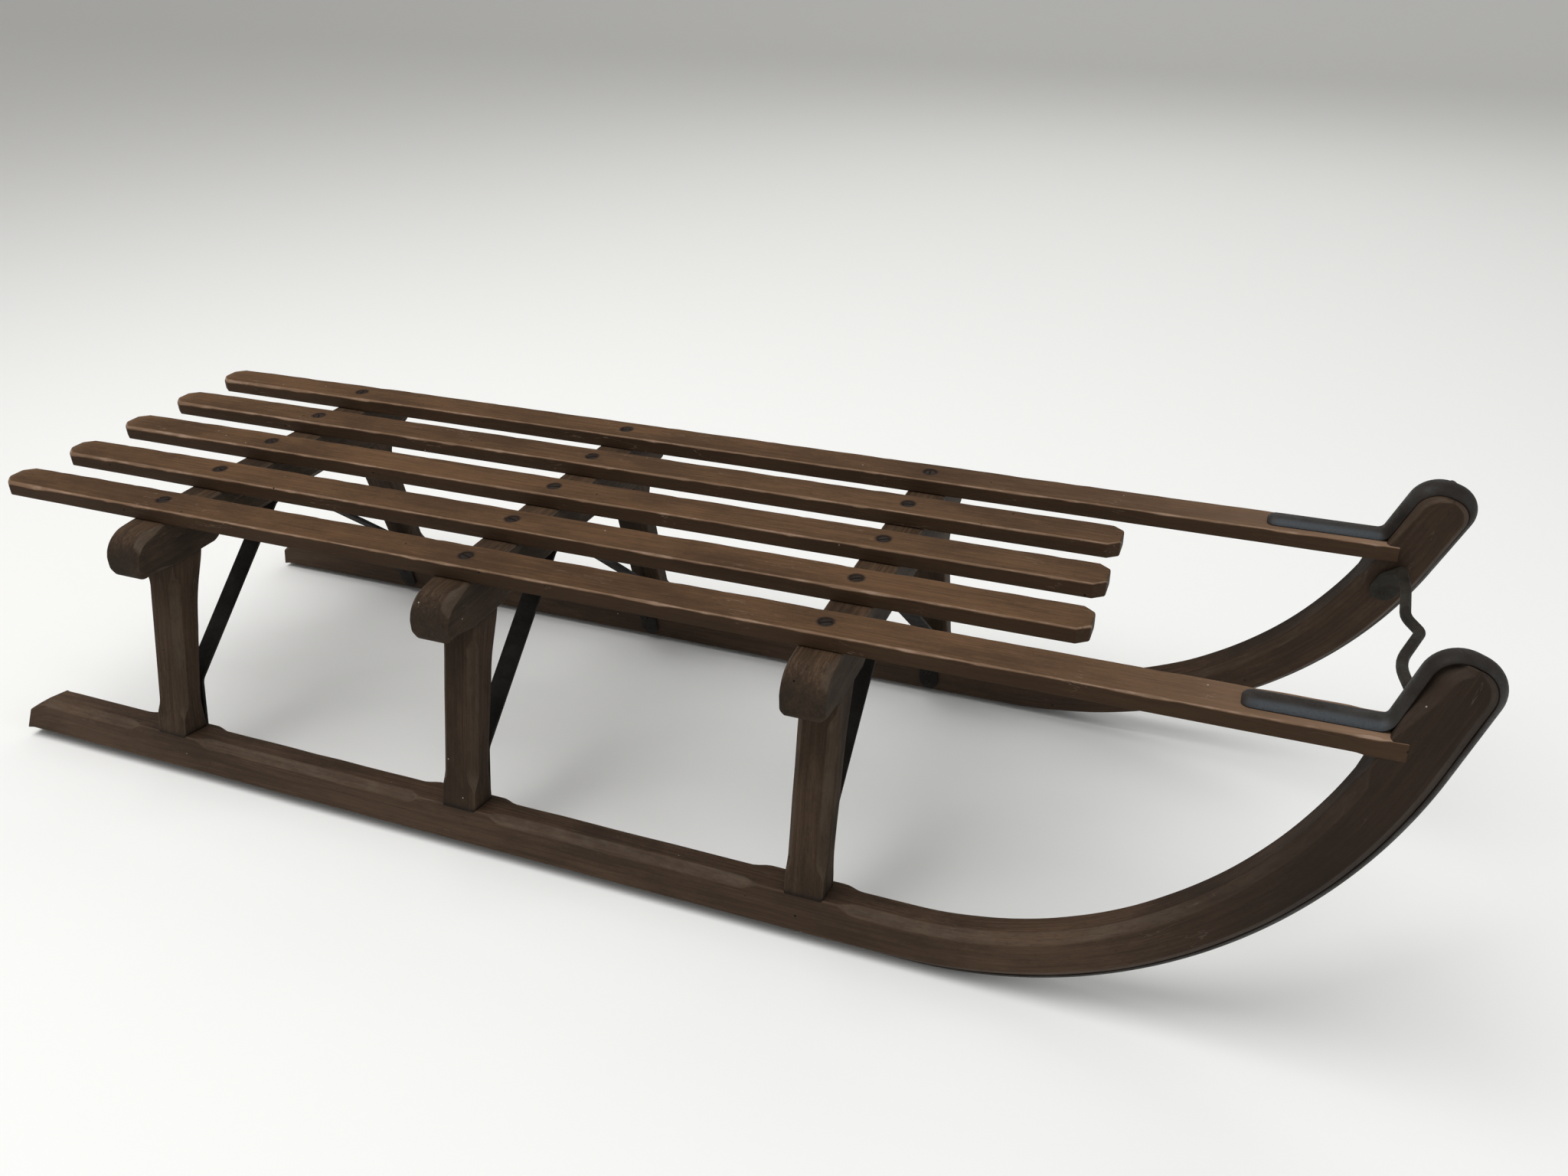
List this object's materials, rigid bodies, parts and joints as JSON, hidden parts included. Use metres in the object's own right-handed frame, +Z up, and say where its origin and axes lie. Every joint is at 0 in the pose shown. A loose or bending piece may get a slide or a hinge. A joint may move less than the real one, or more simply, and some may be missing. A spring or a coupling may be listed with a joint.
{
  "type": "wooden slatted sled",
  "caption": "Wooden sled: slatted seat on crossbars and splayed legs, bent runners with steel shoes, iron braces and a kinked pull rod between the horns.",
  "frame": {"origin": "on the ground under the middle of the whole sled", "axes": "+X forward towards the horns, +Y to the sled's left, +Z up"},
  "size_m": [1.0689, 0.3472, 0.2706],
  "materials": {
    "seat_wood": "worn oiled wood, warm brown, lighter on the edges",
    "frame_wood": "worn oiled wood, grey brown",
    "runner_wood": "dark bent wood, scuffed",
    "shoe_steel": "dark worn steel with a soft sheen",
    "dark_iron": "black iron, lightly rusted"
  },
  "bodies": {
    "root": {"brace_front": "dark_iron", "brace_middle": "dark_iron", "brace_rear": "dark_iron", "crossbar_front": "frame_wood", "crossbar_middle": "frame_wood", "crossbar_rear": "frame_wood", "leg_front_left": "frame_wood", "leg_front_right": "frame_wood", "leg_middle_left": "frame_wood", "leg_middle_right": "frame_wood", "leg_rear_left": "frame_wood", "leg_rear_right": "frame_wood", "pull_rod": "dark_iron", "runner_left": "runner_wood", "runner_right": "runner_wood", "runner_shoe_left": "shoe_steel", "runner_shoe_right": "shoe_steel", "slat_centre": "seat_wood", "slat_inner_left": "seat_wood", "slat_inner_right": "seat_wood", "slat_outer_left": "seat_wood", "slat_outer_right": "seat_wood"}
  },
  "joints": []
}
